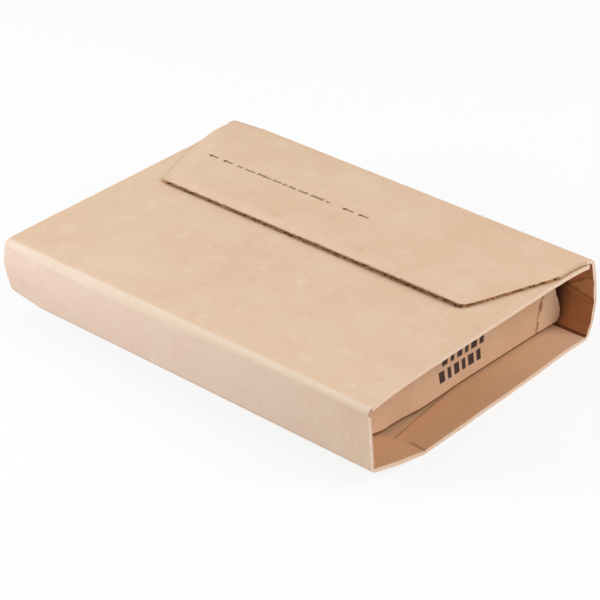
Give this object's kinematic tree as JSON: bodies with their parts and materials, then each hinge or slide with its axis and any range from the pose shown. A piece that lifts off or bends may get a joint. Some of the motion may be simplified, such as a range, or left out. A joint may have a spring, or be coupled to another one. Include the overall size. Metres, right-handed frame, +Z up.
{
  "type": "book wrap mailer",
  "caption": "Corrugated wrap mailer for books: outer sheet folded into an open-ended tube and sealed on top, crossed by an inner sheet whose end walls stand back from the ends.",
  "frame": {"origin": "middle of the footprint, on the surface that the mailer lies on", "axes": "+X along the open tube, towards the end whose recess shows; +Y from the plain near wall to the scored far wall that the closure flap folds from; +Z up"},
  "size_m": [0.405, 0.3096, 0.0844],
  "materials": {
    "outer_board": "brown kraft liner on fluted board, matt",
    "inner_board": "thin brown kraft board, matt",
    "seal_adhesive": "hot-melt adhesive film",
    "tear_film": "clear to milky polypropylene tape",
    "floor_adhesive": "set glue"
  },
  "bodies": {
    "root": {"outer_wrap": "outer_board", "inner_wrap": "inner_board", "seal_strip": "seal_adhesive", "tear_tape": "tear_film", "floor_glue": "floor_adhesive"}
  },
  "joints": []
}
